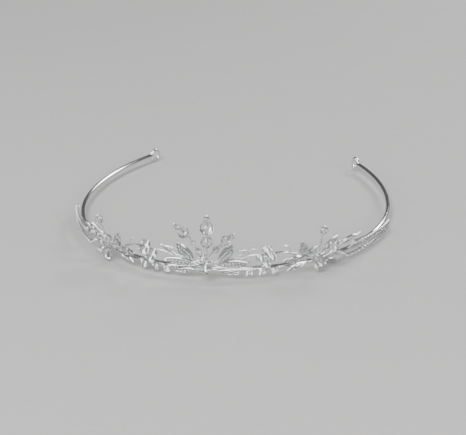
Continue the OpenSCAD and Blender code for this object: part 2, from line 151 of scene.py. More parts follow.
def facing(turned):
    a = math.radians(turned)
    return Vector((math.sin(a), -math.cos(a), 0))


FRONT_C = Vector((0, BAND_FRONT + FRONT_R, 0))
SIDE_C = FRONT_C - (SIDE_R - FRONT_R) * facing(FRONT_DEG)
BACK_C = SIDE_C - (BACK_R - SIDE_R) * facing(SIDE_DEG)


def turn(s):
    """Degrees that the headband has turned at the arc length s."""
    t = abs(s)
    if t < FRONT_END:
        a = math.degrees(t / FRONT_R)
    elif t < SIDE_END:
        a = FRONT_DEG + math.degrees((t - FRONT_END) / SIDE_R)
    else:
        a = SIDE_DEG + math.degrees((t - SIDE_END) / BACK_R)
    return math.copysign(a, s)


def near_band(s, up, out):
    """A point at the arc length s, so far above the wire's middle and outwards."""
    t = abs(s)
    if t < FRONT_END:
        c, r = FRONT_C, FRONT_R
    elif t < SIDE_END:
        c, r = SIDE_C, SIDE_R
    else:
        c, r = BACK_C, BACK_R
    p = c + (r + out) * facing(turn(t))
    return Vector((-p.x if s < 0 else p.x, p.y, BAND_Z + up))


def at_band(s, up, out):
    turned = Matrix.Rotation(math.radians(turn(s)), 4, "Z")
    return Matrix.Translation(near_band(s, up, out)) @ turned


def plane(s, lean):
    """Leaning plane of a flower: X along the headband, Z up, -Y outwards."""
    return at_band(s, 0, WIRE_R) @ Matrix.Rotation(math.radians(lean), 4, "X")


def lay(u, v, w, a=0):
    """Place in a plane, turned to the direction a, with +Z outwards."""
    return Matrix.Translation((u, -w, v)) @ UPRIGHT @ Matrix.Rotation(math.radians(a), 4, "Z")


CENTRE = plane(0, CENTRE_LEAN)
QUATREFOIL = plane(QUATREFOIL_S, CENTRE_LEAN)
SIDE = plane(SIDE_S, SIDE_LEAN)
SPRAY = plane(SIDE_S + 14, SIDE_LEAN / 2)


# ---- Building a mesh ------------------------------------------------------------


def tree_of(node_tree):
    """A function that adds a node with its settings and its inputs' values or links."""

    def add(kind, settings=None, **inputs):
        node = node_tree.nodes.new(kind)
        for name, value in (settings or {}).items():
            setattr(node, name, value)
        for name, value in inputs.items():
            socket = node.inputs[int(name[1:])] if name[0] == "_" else node.inputs[name]
            if isinstance(value, bpy.types.NodeSocket):
                node_tree.links.new(value, socket)
            else:
                socket.default_value = value
        return node

    return add


class Shape:
    """Faces gathered in millimetres, each with the number of its material."""

    def __init__(self):
        self.points = []
        self.faces = []
        self.kinds = []
        self.smooth = []

    def add(self, points, faces, at=RIGHT, kinds=None, smooth=True):
        first = len(self.points)
        self.points += [at @ Vector(p) for p in points]
        self.faces += [[first + k for k in f] for f in faces]
        self.kinds += kinds or [0] * len(faces)
        self.smooth += [smooth] * len(faces)

    def take(self, other, at=RIGHT):
        """Adds another shape at a place."""
        self.add(other.points, other.faces, at, other.kinds)
        self.smooth[len(self.smooth) - len(other.smooth) :] = other.smooth

    def rings(self, rings, at=RIGHT):
        """Joins rings of points, all of the same number, into a skin with closed ends."""
        n, last = len(rings[0]), len(rings) - 1
        faces = []
        for i in range(last):
            a, b = i * n, (i + 1) * n
            faces += [(a + k, a + (k + 1) % n, b + (k + 1) % n, b + k) for k in range(n)]
        faces += [range(n - 1, -1, -1), range(last * n, (last + 1) * n)]
        self.add([p for ring in rings for p in ring], faces, at)

    def lathe(self, profile, sides, at=RIGHT):
        """Turns (radius, height) pairs round Z."""
        self.rings([[polar(r, 360 * k / sides, z) for k in range(sides)] for r, z in profile], at)

    def tube(self, path, radii, sides=10, at=RIGHT):
        """Round wire along a path, with a radius at each point and domed ends."""
        path = [Vector(p) for p in path]
        radii = [radii] * len(path) if isinstance(radii, (int, float)) else radii
        rings = []
        side = None
        for i, p in enumerate(path):
            ahead = path[min(i + 1, len(path) - 1)] - path[max(i - 1, 0)]
            ahead.normalize()
            side = ahead.orthogonal() if side is None else side - side.dot(ahead) * ahead
            side.normalize()
            up = ahead.cross(side)
            marks = [(0, 1)]
            if i == 0:
                marks = [(-0.9, 0.4), (-0.55, 0.83)] + marks
            elif i == len(path) - 1:
                marks = marks + [(0.55, 0.83), (0.9, 0.4)]
            angles = [2 * math.pi * k / sides for k in range(sides)]
            for along, share in marks:
                c = p + along * radii[i] * ahead
                r = share * radii[i]
                rings.append([c + r * (math.cos(a) * side + math.sin(a) * up) for a in angles])
        self.rings(rings, at)

    def ball(self, centre, r, at=RIGHT, sides=12, rows=7):
        profile = [
            (max(r * math.sin(math.pi * k / rows), 0.02 * r), -r * math.cos(math.pi * k / rows))
            for k in range(rows + 1)
        ]
        self.lathe(profile, sides, at @ Matrix.Translation(centre))

    def object(self, name, materials, mirrored=False, sharp=38):
        """A mesh object in metres, with its normals outwards."""
        mesh = bpy.data.meshes.new(name)
        place = MIRROR if mirrored else RIGHT
        mesh.from_pydata([place @ p * MM for p in self.points], [], self.faces)
        for m in materials:
            mesh.materials.append(m)
        mesh.polygons.foreach_set("material_index", self.kinds)
        mesh.polygons.foreach_set("use_smooth", self.smooth)
        b = bmesh.new()
        b.from_mesh(mesh)
        bmesh.ops.recalc_face_normals(b, faces=b.faces)
        for e in b.edges:
            e.smooth = len(e.link_faces) == 2 and e.calc_face_angle(0) < math.radians(sharp)
        b.to_mesh(mesh)
        b.free()
        obj = bpy.data.objects.new(name, mesh)
        bpy.context.scene.collection.objects.link(obj)
        return obj


def polar(r, degrees, z=0):
    a = math.radians(degrees)
    return Vector((r * math.cos(a), r * math.sin(a), z))


def shape_of(obj):
    """An object's evaluated mesh as a shape; the object is removed."""
    graph = bpy.context.evaluated_depsgraph_get()
    mesh = bpy.data.meshes.new_from_object(obj.evaluated_get(graph), depsgraph=graph)
    names = [m.name if m else "" for m in mesh.materials]
    made = Shape()
    made.points = [v.co / MM for v in mesh.vertices]
    made.faces = [list(f.vertices) for f in mesh.polygons]
    made.kinds = [
        1 if names and "foil" in names[min(f.material_index, len(names) - 1)] else 0
        for f in mesh.polygons
    ]
    made.smooth = [f.use_smooth for f in mesh.polygons]
    obj.modifiers.clear()
    bpy.data.objects.remove(obj)
    bpy.data.meshes.remove(mesh)
    return made


def node_tool(name, inputs):
    """An empty Geometry Nodes tree with named inputs; returns the tree and its input node."""
    tree = bpy.data.node_groups.new(name, "GeometryNodeTree")
    face = tree.interface
    face.new_socket("Geometry", in_out="INPUT", socket_type="NodeSocketGeometry")
    for label, kind in inputs:
        face.new_socket(label, in_out="INPUT", socket_type="NodeSocket" + kind)
    face.new_socket("Geometry", in_out="OUTPUT", socket_type="NodeSocketGeometry")
    return tree, tree.nodes.new("NodeGroupInput")


def end_tree(tree, geometry, material_sockets):
    """Ends a tree in Realize Instances and Set Material, the second one for the foil."""
    add = tree_of(tree)
    whole = add("GeometryNodeRealizeInstances", Geometry=geometry).outputs[0]
    whole = add("GeometryNodeSetMaterial", Geometry=whole, Material=material_sockets[0]).outputs[0]
    if len(material_sockets) > 1:
        mark = add("GeometryNodeInputNamedAttribute", {"data_type": "BOOLEAN"}, Name="foil")
        whole = add(
            "GeometryNodeSetMaterial", Geometry=whole, Selection=mark.outputs[0],
            Material=material_sockets[1],
        ).outputs[0]
    add("NodeGroupOutput", Geometry=whole)
    return tree


def wire_tree():
    """Round wire of an even radius along a curve."""
    tree, given = node_tool(
        "round_wire",
        [("Wire radius", "Float"), ("Sides", "Int"), ("Plating", "Material")],
    )
    add = tree_of(tree)
    ring = add(
        "GeometryNodeCurvePrimitiveCircle", Resolution=given.outputs["Sides"],
        Radius=given.outputs["Wire radius"],
    )
    wire = add(
        "GeometryNodeCurveToMesh", Curve=given.outputs["Geometry"],
        **{"Profile Curve": ring.outputs[0], "Fill Caps": True},
    )
    soft = add("GeometryNodeSetShadeSmooth", Geometry=wire.outputs[0])
    return end_tree(tree, soft.outputs[0], [given.outputs["Plating"]])


def setting_tree():
    """One small shape set on every point, turned to the point's outward direction."""
    tree, given = node_tool(
        "set_on_points",
        [("Shape", "Object"), ("Size", "Float"), ("Front", "Material"), ("Back", "Material")],
    )
    add = tree_of(tree)
    what = add("GeometryNodeObjectInfo", Object=given.outputs["Shape"])
    out = add("GeometryNodeInputNamedAttribute", {"data_type": "FLOAT_VECTOR"}, Name="out")
    along = add("GeometryNodeInputNamedAttribute", {"data_type": "FLOAT_VECTOR"}, Name="along")
    turned = add(
        "FunctionNodeAxesToRotation", {"primary_axis": "Z", "secondary_axis": "X"},
        _0=out.outputs[0], _1=along.outputs[0],
    )
    scale = add("ShaderNodeCombineXYZ", **{k: given.outputs["Size"] for k in "XYZ"})
    placed = add(
        "GeometryNodeInstanceOnPoints", Points=given.outputs["Geometry"],
        Instance=what.outputs["Geometry"], Rotation=turned.outputs[0], Scale=scale.outputs[0],
    )
    return end_tree(tree, placed.outputs[0], [given.outputs["Front"], given.outputs["Back"]])


def run_tree(obj, tree, values):
    """Runs a tree on an object and returns the result as a shape."""
    modifier = obj.modifiers.new(tree.name, "NODES")
    modifier.node_group = tree
    for item in tree.interface.items_tree:
        if item.in_out == "INPUT" and item.name in values:
            modifier[item.identifier] = values[item.name]
    bpy.context.view_layer.update()
    return shape_of(obj)


def wires(paths, r, sides=None):
    """Even round wires along paths of points."""
    data = bpy.data.curves.new("paths", "CURVE")
    data.dimensions = "3D"
    for path in paths:
        spline = data.splines.new("POLY")
        spline.points.add(len(path) - 1)
        for point, p in zip(spline.points, path):
            point.co = (*(Vector(p) * MM), 1)
    obj = bpy.data.objects.new("paths", data)
    bpy.context.scene.collection.objects.link(obj)
    sides = sides or bpy.context.scene.tiara_metal.wire_sides
    return run_tree(
        obj, TREES["wire"],
        {"Wire radius": r * MM, "Sides": sides, "Plating": MATERIALS["plating"]},
    )


def set_on(places, shape, size=1.0):
    """A shape set at each place, a matrix in millimetres whose Z points outwards."""
    if not places:
        return Shape()
    mesh = bpy.data.meshes.new("places")
    mesh.from_pydata([m.translation * MM for m in places], [], [])
    for name, column in (("along", 0), ("out", 2)):
        layer = mesh.attributes.new(name, "FLOAT_VECTOR", "POINT")
        for i, m in enumerate(places):
            layer.data[i].vector = m.col[column].to_3d().normalized()
    obj = bpy.data.objects.new("places", mesh)
    bpy.context.scene.collection.objects.link(obj)
    pattern = shape.object("pattern", [MATERIALS["plating"]])
    pattern.data.attributes.new("foil", "BOOLEAN", "FACE")
    pattern.data.attributes["foil"].data.foreach_set("value", [k > 0 for k in shape.kinds])
    made = run_tree(
        obj, TREES["setting"],
        {"Shape": pattern, "Size": size, "Front": MATERIALS["plating"], "Back": MATERIALS["foil"]},
    )
    bpy.data.objects.remove(pattern)
    return made


def finish(shape, name, nodes, materials, body="tiara", mirrored=False, sharp=38):
    """Makes a piece's object and ties it to the frame."""
    obj = shape.object(name, [MATERIALS[m] for m in materials], mirrored, sharp)
    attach(obj, body)
    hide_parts(*nodes)
    return obj


def metal_piece(shape, node, mirrored=False):
    return finish(shape, node + "_metal", [node], ["plating"], mirrored=mirrored)


def pair(shape, stem):
    """The same metal piece on the right and, mirrored, on the left."""
    metal_piece(shape, stem + "_right")
    metal_piece(shape, stem + "_left", True)


def both_sides(shape):
    """A shape and its mirror image as one."""
    whole = Shape()
    whole.take(shape)
    whole.take(shape, MIRROR)
    return whole


def smooth_path(points, steps=8):
    """Catmull-Rom curve through the points."""
    p = [Vector(x) for x in points]
    p = [2 * p[0] - p[1], *p, 2 * p[-1] - p[-2]]
    path = []
    for i in range(1, len(p) - 2):
        a, b, c, d = p[i - 1 : i + 3]
        for k in range(steps):
            t = k / steps
            path.append(
                0.5
                * (
                    2 * b + (c - a) * t + (2 * a - 5 * b + 4 * c - d) * t**2
                    + (3 * b - a - 3 * c + d) * t**3
                )
            )
    return path + [p[-2]]


# ---- Materials ------------------------------------------------------------------

MATERIALS = {}
TREES = {}


def new_material(name, **constants):
    """A material with constant values on its shader; returns its adder and shader."""
    material = bpy.data.materials.new(name)
    material.use_nodes = True
    shader = material.node_tree.nodes["Principled BSDF"]
    for label, value in constants.items():
        shader.inputs[label.replace("_", " ")].default_value = value
    return material, tree_of(material.node_tree), shader


def mottled(add, shader, tints, spot_mm, rough, rough_mm, bump_mm, bump_um):
    """Two tints in soft spots, roughness between two values and a fine bump."""
    place = add("ShaderNodeTexCoord").outputs["Object"]
    link = shader.id_data.links.new
    spots = add("ShaderNodeTexNoise", Vector=place, Scale=1 / (spot_mm * MM), Detail=3.0)
    mix = add("ShaderNodeMix", {"data_type": "RGBA"}, Factor=spots.outputs["Fac"])
    mix.inputs[6].default_value = (*tints[0], 1)
    mix.inputs[7].default_value = (*tints[1], 1)
    link(mix.outputs[2], shader.inputs["Base Color"])
    wear = add("ShaderNodeTexNoise", Vector=place, Scale=1 / (rough_mm * MM), Detail=4.0)
    spread = add(
        "ShaderNodeMapRange", Value=wear.outputs["Fac"],
        **{"From Min": 0.3, "From Max": 0.7, "To Min": rough[0], "To Max": rough[1]},
    )
    link(spread.outputs[0], shader.inputs["Roughness"])
    grain = add("ShaderNodeTexNoise", Vector=place, Scale=1 / (bump_mm * MM), Detail=2.0)
    bump = add("ShaderNodeBump", Strength=1.0, Distance=bump_um * 1e-6, Height=grain.outputs["Fac"])
    link(bump.outputs[0], shader.inputs["Normal"])


class TIARA_OT_materials(bpy.types.Operator):
    """Makes the plating, glass and foil"""

    bl_idname = "tiara.materials"
    bl_label = "Materials"

    def execute(self, context):
        metal, stones = context.scene.tiara_metal, context.scene.tiara_stones
        # Rhodium plated on polished brass and steel: white, mirror-like, with the soft
        # waviness that tumbling leaves and slightly duller hollows
        material, add, shader = new_material("rhodium_plating_polished", Metallic=1.0)
        mottled(
            add, shader, (metal.plating, metal.plating_shade), spot_mm=2.5, rough=(0.07, 0.2),
            rough_mm=1.2, bump_mm=0.8, bump_um=12,
        )
        MATERIALS["plating"] = material
        # Lead crystal, machine cut and polished: clear with a faint cool tint, sharp
        # facets and very slight polishing haze
        material, add, shader = new_material(
            "cut_crystal_glass_polished", IOR=1.56, Transmission_Weight=1.0
        )
        glass = list(stones.glass)
        mottled(
            add, shader, (glass, [c * 0.96 for c in glass]), spot_mm=3, rough=(0.0, 0.03),
            rough_mm=1.5, bump_mm=1.5, bump_um=2,
        )
        MATERIALS["glass"] = material
        # Silver foil fused to the back of a rhinestone: a bright mirror with fine creases
        material, add, shader = new_material("rhinestone_foil_silvered", Metallic=1.0)
        foil = list(stones.foil)
        mottled(
            add, shader, (foil, [c * 0.88 for c in foil]), spot_mm=0.8, rough=(0.08, 0.22),
            rough_mm=0.5, bump_mm=0.3, bump_um=6,
        )
        MATERIALS["foil"] = material
        TREES["wire"] = wire_tree()
        TREES["setting"] = setting_tree()
        for name, node in frame["nodes"].items():
            clear = any(word in name for word in ("stones", "crystal", "bead"))
            node.data.materials.clear()
            node.data.materials.append(MATERIALS["glass" if clear else "plating"])
        return {"FINISHED"}


# ---- Stage ----------------------------------------------------------------------


FLOOR_HALF = 4.0
# Camera: turn to the right of the front, height angle, distance and aim in metres,
# then small turns that place the tiara in the view
CAMERA_AZIMUTH, CAMERA_ELEVATION, CAMERA_AWAY = 9.04, 21.67, 0.6856
CAMERA_AIM = Vector((0, 0.0383, 0))
CAMERA_PAN, CAMERA_TILT, CAMERA_ROLL = 0.482, -1.148, -0.738
# Name, place, width, height and power in watts of each lamp, aimed at the origin
LAMPS = (
    ("key", (-0.25, -0.8, 1.1), 1.0, 0.65, 24),
    ("front", (0.15, -1.25, 0.55), 1.1, 0.35, 7),
    ("fill", (0.95, -0.5, 0.5), 0.25, 0.25, 5),
    ("rim", (0.45, 0.85, 0.6), 0.5, 0.2, 8),
    ("top", (-0.1, 0.15, 1.2), 0.35, 0.25, 3),
    ("left", (-1.0, 0.1, 0.45), 0.2, 0.4, 4),
    ("spark_a", (-0.6, -0.85, 0.3), 0.05, 0.05, 1.2),
    ("spark_b", (-0.15, -1.1, 0.22), 0.05, 0.05, 1.2),
    ("spark_c", (0.5, -0.95, 0.3), 0.05, 0.05, 1.2),
    ("spark_d", (0.8, -0.6, 0.2), 0.05, 0.05, 1.0),
)


def matte_floor(context):
    # Seamless studio paper: matte, with a faint fibre mottle
    material, add, shader = new_material("studio_paper_matte", Specular_IOR_Level=0.2)
    base = list(context.scene.tiara_stage.floor)
    mottled(
        add, shader, (base, [c * 0.97 for c in base]), spot_mm=40, rough=(0.75, 0.85),
        rough_mm=20, bump_mm=1.5, bump_um=20,
    )
    mesh = bpy.data.meshes.new("floor")
    half = FLOOR_HALF
    mesh.from_pydata(
        [(-half, -half, 0), (half, -half, 0), (half, half, 0), (-half, half, 0)], [],
        [(0, 1, 2, 3)],
    )
    mesh.materials.append(material)
    obj = bpy.data.objects.new("floor", mesh)
    bpy.context.scene.collection.objects.link(obj)


class TIARA_OT_stage(bpy.types.Operator):
    """Makes the floor, the soft lights and the camera"""

    bl_idname = "tiara.stage"
    bl_label = "Stage"

    def execute(self, context):
        scene = context.scene
        matte_floor(context)
        # A dim room, so that the metal and glass have something dark to mirror, and a
        # pale wall where the camera looks past the floor
        world = bpy.data.worlds.new("dim_room")
        world.use_nodes = True
        add = tree_of(world.node_tree)
        room = world.node_tree.nodes["Background"]
        room.inputs["Color"].default_value = (*linear("#8F9398"), 1)
        room.inputs["Strength"].default_value = 0.4
        wall = add("ShaderNodeBackground", Color=(*linear("#B4B2B1"), 1), Strength=0.9)
        seen = add("ShaderNodeLightPath").outputs["Is Camera Ray"]
        both = add("ShaderNodeMixShader", _0=seen, _1=room.outputs[0], _2=wall.outputs[0])
        world.node_tree.links.new(
            both.outputs[0], world.node_tree.nodes["World Output"].inputs["Surface"]
        )
        scene.world = world
        for name, place, wide, high, power in LAMPS:
            light = bpy.data.lights.new(name, "AREA")
            light.shape = "RECTANGLE"
            light.size, light.size_y, light.energy = wide, high, power
            lamp = bpy.data.objects.new(name, light)
            lamp.location = place
            lamp.rotation_euler = (-Vector(place)).to_track_quat("-Z", "Y").to_euler()
            scene.collection.objects.link(lamp)
        data = bpy.data.cameras.new("camera")
        data.sensor_width = 36
        data.lens = scene.tiara_stage.lens
        data.clip_start, data.clip_end = 0.05, 20
        camera = bpy.data.objects.new("camera", data)
        a, e = math.radians(CAMERA_AZIMUTH), math.radians(CAMERA_ELEVATION)
        out = Vector((math.sin(a) * math.cos(e), -math.cos(a) * math.cos(e), math.sin(e)))
        camera.location = CAMERA_AIM + out * CAMERA_AWAY
        turned = (-out).to_track_quat("-Z", "Y").to_matrix().to_4x4()
        pan = Matrix.Rotation(math.radians(CAMERA_PAN), 4, "Y")
        tilt = Matrix.Rotation(math.radians(CAMERA_TILT), 4, "X")
        roll = Matrix.Rotation(math.radians(CAMERA_ROLL), 4, "Z")
        camera.matrix_world = Matrix.Translation(camera.location) @ turned @ pan @ tilt @ roll
        scene.collection.objects.link(camera)
        scene.camera = camera
        return {"FINISHED"}


# ---- Headband -------------------------------------------------------------------


class TIARA_OT_headband(bpy.types.Operator):
    """Makes the sprung wire headband"""

    bl_idname = "tiara.headband"
    bl_label = "Headband"

    def execute(self, context):
        # The wire runs a little way into the rings
        reach = BAND_END - LOOP_MID_R + 0.3
        steps = 260
        path = [near_band(reach * (2 * k / steps - 1), 0, 0) for k in range(steps + 1)]
        shape = wires([path], WIRE_R, sides=24)
        metal_piece(shape, "headband")
        return {"FINISHED"}


class TIARA_OT_end_loops(bpy.types.Operator):
    """Makes the curled ends of the headband"""

    bl_idname = "tiara.end_loops"
    bl_label = "End loops"

    def execute(self, context):
        # The ring lies square to the outward direction; the wire's end closes the curl
        at = at_band(BAND_END, LOOP_MID_R + LOOP_WIRE_R - BAND_Z, 0)
        ring = at @ UPRIGHT
        r = LOOP_WIRE_R
        start, sweep, steps = 205, 352, 56
        path, radii = [], []
        for k in range(steps + 1):
            t = k / steps
            path.append(polar(LOOP_MID_R, start + sweep * t, 0))
            radii.append(r * (1 - 0.12 * t))
        shape = Shape()
        shape.tube(path, radii, 16, ring)
        pair(shape, "end_loop")
        return {"FINISHED"}


# ---- Leaves ---------------------------------------------------------------------

# Place, direction, length, bulges of the upper and lower edge, and stem of each leaf
LEAVES = {
    "centre_upper_leaf": (4.6, 4.9, 49, 12.6, 2.5, 2.4, 3),
    "centre_side_leaf": (4.2, 3.2, 9, 14.8, 2.2, 2.1, 2.8),
    "centre_lower_leaf": (4.6, 0.7, -8, 9.6, 1.2, 1.4, 3.2),
    "side_upper_inner_leaf": (-3.3, 4, 131, 12.5, 2.3, 2.5, 2.4),
    "side_upper_outer_leaf": (2.8, 4.6, 55, 10.4, 2.2, 2, 2.4),
    "side_lower_inner_leaf": (-5, 0.7, 190, 9.2, 1.3, 1.2, 3),
    "side_lower_outer_leaf": (4, -0.22, -19, 9.4, 1.3, 1.5, 2.6),
    "side_long_inner": (-4.6, 3.3, 172, 12.8, 2, 2, 2.6),
    "side_long_outer": (4.6, 2.3, 6, 8.4, 1.4, 1.3, 2.6),
    "side_spray_leaf": (-2.6, 5.2, 11, 10.6, 1.5, 1.2, 0),
}
# Sideways curl of a leaf's tip in mm, positive to the left of its direction
CURLS = {
    "centre_upper_leaf": 1.3,
    "centre_side_leaf": 0.5,
    "centre_lower_leaf": 0.3,
    "side_upper_inner_leaf": -1.1,
    "side_upper_outer_leaf": 0.9,
    "side_lower_inner_leaf": -0.2,
    "side_long_inner": -0.4,
    "side_spray_leaf": 0.3,
}
LEAF_T, LEAF_FLOOR, PLATE_W = 0.8, 0.35, 0.1
PAVE_R, PAVE_PITCH = 0.66, 1.42
LEAF_EDGE = 0.4


def edge(chord, bulge, x):
    """Height of an arc over a chord at the distance x."""
    r = (chord * chord / 4 + bulge * bulge) / (2 * bulge)
    return math.sqrt(max(r * r - (x - chord / 2) ** 2, 0)) - (r - bulge)


def curled(x, y, z, chord, curl):
    """A point of a leaf with the tip's sideways curl and slight forward lift."""
    t = max(0.0, (x / chord - 0.45) / 0.55) ** 2
    return Vector((x - 0.12 * abs(curl) * t, y + curl * t, z + 0.35 * abs(curl) * t))


def leaf_section(low, high, rim):
    """Outline across a leaf as (y, z): thin back, round rim and sunken floor."""
    half = (high - low) / 2
    k = min(1.0, half / (rim + 0.28))
    floor = LEAF_T - (LEAF_T - LEAF_FLOOR) * max(0.0, (k - 0.45) / 0.55)
    side = [
        (0.16, 0.0), (0.02, 0.12), (0.0, 0.45), (0.06, 0.7), (0.18, LEAF_T), (0.32, LEAF_T - 0.02),
        (rim, LEAF_T - 0.14), (rim + 0.05, floor + 0.05), (rim + 0.16, floor),
    ]
    left = [(low + y * k, z) for y, z in side]
    right = [(high - y * k, z) for y, z in reversed(side)]
    return left + [((low + high) / 2, floor)] + right + [((low + high) / 2, 0.0)]


def leaf_shape(leaf, curl, rim):
    u, v, a, chord, upper, lower, stem = leaf
    stations = 30
    rings = []
    for i in range(stations + 1):
        x = chord * (0.012 + 0.976 * (0.5 - 0.5 * math.cos(math.pi * i / stations)))
        low, high = -edge(chord, lower, x), edge(chord, upper, x)
        rings.append([curled(x, y, z, chord, curl) for y, z in leaf_section(low, high, rim)])
    shape = Shape()
    at = lay(u, v, PLATE_W, a)
    shape.rings(rings, at)
    if stem:
        z = LEAF_T / 2 - 0.02
        shape.tube(
            [(-stem, 0, z), (-stem / 2, 0.05, z), (0, 0.03, z), (1.0, 0, z - 0.05)],
            [0.33, 0.3, 0.36, 0.2], 10, at,
        )
    return shape


def pave_places(leaf, curl):
    """Places of the stones on a leaf's floor."""
    u, v, a, chord, upper, lower, _ = leaf
    need = LEAF_EDGE + PAVE_R + 0.05
    places = []
    count = math.floor(chord / PAVE_PITCH)
    for i in range(count + 1):
        x = chord / 2 + (i - count / 2) * PAVE_PITCH
        top = edge(chord, upper, x) - need
        bottom = -edge(chord, lower, x) + need
        if top - bottom >= PAVE_PITCH:
            ys = [(top + bottom + k * PAVE_PITCH) / 2 for k in (-1, 1)]
        elif top - bottom >= -0.15:
            ys = [(top + bottom) / 2]
        else:
            ys = []
        places += [
            lay(u, v, PLATE_W, a) @ Matrix.Translation(curled(x, y, LEAF_FLOOR + 0.02, chord, curl))
            for y in ys
        ]
    return places


def grains(places, r, up):
    """Small balls of metal at the four corners of each stone."""
    return [m @ Matrix.Translation(polar(r, 45 + 90 * k, up)) for m in places for k in range(4)]


def grain():
    ball = Shape()
    ball.lathe([(0.9, -0.7), (1.0, 0.1), (0.62, 0.78), (0.08, 1.0)], 7)
    return ball


def leaf_group(names, at):
    """Metal of the leaves, with their grains; returns one shape."""
    metal = bpy.context.scene.tiara_metal
    whole = Shape()
    for name in names:
        curl = CURLS.get(name, 0)
        whole.take(leaf_shape(LEAVES[name], curl, metal.rim_width), at)
        places = [at @ m for m in pave_places(LEAVES[name], curl)]
        spots = grains(places, PAVE_R + 0.04, 0.62 * PAVE_R)
        whole.take(set_on(spots, grain(), metal.grain_radius))
    return whole


class TIARA_OT_leaves(bpy.types.Operator):
    """Makes the rimmed metal leaves"""

    bl_idname = "tiara.leaves"
    bl_label = "Leaves"

    def execute(self, context):
        for name in LEAVES:
            if name.startswith("centre"):
                pair(leaf_group([name], CENTRE), name)
            elif name.startswith("side_upper") or name.startswith("side_lower"):
                shape = leaf_group([name], SIDE)
                if name == "side_lower_outer_leaf":
                    u, v, a, chord = LEAVES[name][:4]
                    tip = lay(u, v, PLATE_W, a)
                    shape.ball((chord - 0.2, 0, LEAF_T / 2), 0.45, SIDE @ tip)
                pair(shape, name)
        pair(leaf_group(["side_long_inner", "side_long_outer"], SIDE), "side_long_leaves")
        shape = leaf_group(["side_spray_leaf"], SPRAY)
        u, v, a, chord = LEAVES["side_spray_leaf"][:4]
        stem = [(-5.4, -0.5, 0), (-4.9, -0.5, 1.9), (-4.2, -0.5, 3.4), (u + 0.6, -0.5, v + 0.1)]
        shape.tube(smooth_path(stem, 5), 0.35, 10, SPRAY)
        tail = [(chord - 0.8, 0.2, 0.42), (chord + 0.6, 0.3, 0.5), (chord + 1.9, 0.5, 0.6)]
        shape.tube(smooth_path(tail, 4), 0.28, 10, SPRAY @ lay(u, v, PLATE_W, a))
        pair(shape, "side_spray_leaf")
        return {"FINISHED"}


# ---- Stones ---------------------------------------------------------------------


# Radius of a stone's lowest facet, as a share of the stone's
CULET = 0.02


def brilliant(r, crown, pavilion, n=8):
    """Round cut stone with its girdle at z = 0: glass crown, foil behind."""
    table = bpy.context.scene.tiara_stones.table
    step = 360 / n
    girdle = 0.03 * r
    points = [polar(table * r, step * i, crown) for i in range(n)]
    points += [polar(0.8 * r, step * (i + 0.5), 0.5 * crown) for i in range(n)]
    points += [polar(r, step * i / 2, girdle) for i in range(2 * n)]
    points += [polar(r, step * i / 2, -girdle) for i in range(2 * n)]
    points += [polar(0.36 * r, step * (i + 0.5), -0.66 * pavilion) for i in range(n)]
    points += [polar(CULET * r, step * i, -pavilion) for i in range(n)]
    star, top, bottom, lower, foot = n, 2 * n, 4 * n, 6 * n, 7 * n
    faces = [list(range(n))]
    for i in range(n):
        j, k, m = (i + 1) % n, (i - 1) % n, (2 * i + 2) % (2 * n)
        faces += [
            (i, star + k, top + 2 * i, star + i), (i, star + i, j),
            (star + i, top + 2 * i, top + 2 * i + 1), (star + i, top + 2 * i + 1, top + m),
        ]
    for i in range(2 * n):
        j = (i + 1) % (2 * n)
        faces.append((top + i, bottom + i, bottom + j, top + j))
    glass = len(faces)
    for i in range(n):
        j, k, m = (i + 1) % n, (i - 1) % n, (2 * i + 2) % (2 * n)
        faces += [
            (bottom + 2 * i, lower + k, foot + i, lower + i), (lower + i, foot + i, foot + j),
            (bottom + 2 * i, lower + i, bottom + 2 * i + 1),
            (bottom + 2 * i + 1, lower + i, bottom + m),
        ]
    faces.append([foot + i for i in range(n)])
    shape = Shape()
    kinds = [0] * glass + [1] * (len(faces) - glass)
    shape.add(points, faces, kinds=kinds, smooth=False)
    return shape


def stone_piece(shape, node):
    return finish(shape, node + "_cut", [node], ["glass", "foil"], sharp=1)


def small_stone(r, crown, pavilion):
    """Small stone that rests on z = 0."""
    lifted = Shape()
    lifted.take(brilliant(r, crown, pavilion, 6), Matrix.Translation((0, 0, pavilion)))
    return lifted


# Centre stones and the side flowers' stone, as place, foot, radius and seat
CENTRE_STONES = [(0, 4.4, 1, 2.4, 2.9), (-1.3, 8.3, 1, 1.45, 1.6), (0, 0.5, 0.9, 1.1, 1.1)]
SIDE_STONE = (0, 1.8, 1, 2.4, 3.6)
# Depth of a stone below its girdle, as a share of its radius: steep enough to throw
# light back to the front
PAVILION, ROW_PAVILION = 0.82, 0.8
# Height of a stone above its girdle, as a share of its radius
CROWN, PAVE_CROWN, ROW_CROWN = 0.42, 0.28, 0.3


def big_stone(at, r, seat):
    """Stone in a claw setting whose foot is at the place."""
    shape = Shape()
    cut = brilliant(r * 0.985, CROWN * r, PAVILION * r)
    shape.take(cut, at @ Matrix.Translation((0, 0, seat + 0.03)))
    return shape


